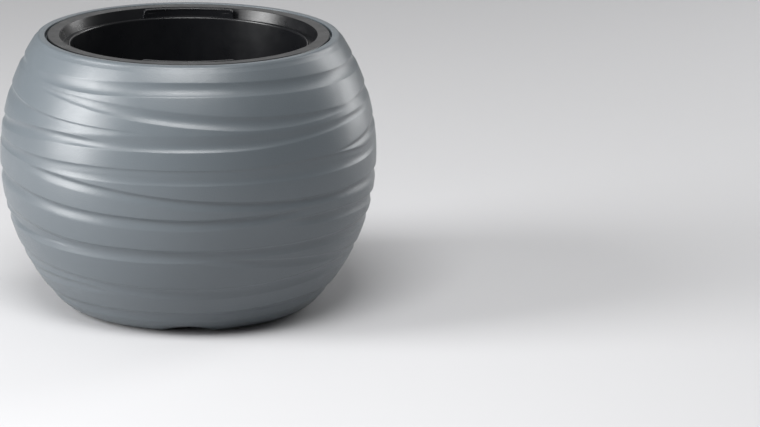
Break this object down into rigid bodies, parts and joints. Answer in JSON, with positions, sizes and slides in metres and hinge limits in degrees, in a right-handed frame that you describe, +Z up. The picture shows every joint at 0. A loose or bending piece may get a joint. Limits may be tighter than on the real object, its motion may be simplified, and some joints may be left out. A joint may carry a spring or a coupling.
{
  "type": "self-watering planter",
  "caption": "Round bowl-shaped planter that holds a water reservoir, with a lift-out planting insert, pull-up carrying handles and felt wicks.",
  "frame": {"origin": "centre of the bowl's foot, on the surface that it stands on", "axes": "+Z up along the bowl's axis, +Y towards the rear handle, +X to the right seen from the front"},
  "size_m": [0.39, 0.39, 0.285],
  "materials": {
    "slate_plastic": "satin, fine leather grain",
    "black_plastic": "satin",
    "handle_plastic": "semi-gloss",
    "felt": "non-woven felt"
  },
  "bodies": {
    "bowl": {"outer_bowl": "slate_plastic"},
    "insert": {"planting_insert": "black_plastic", "wick_1": "felt", "wick_2": "felt", "wick_3": "felt", "wick_4": "felt"},
    "rear_handle": {"handle_rear": "handle_plastic"},
    "front_handle": {"handle_front": "handle_plastic"}
  },
  "joints": [
    {"name": "insert_lift", "type": "slide", "parent": "bowl", "child": "insert", "axis": [0, 0, 1], "range_m": [0, 0.3]},
    {"name": "rear_handle_pull", "type": "slide", "parent": "insert", "child": "rear_handle", "axis": [0, 0, 1], "range_m": [0, 0.024]},
    {"name": "front_handle_pull", "type": "slide", "parent": "insert", "child": "front_handle", "axis": [0, 0, 1], "range_m": [0, 0.024]}
  ]
}
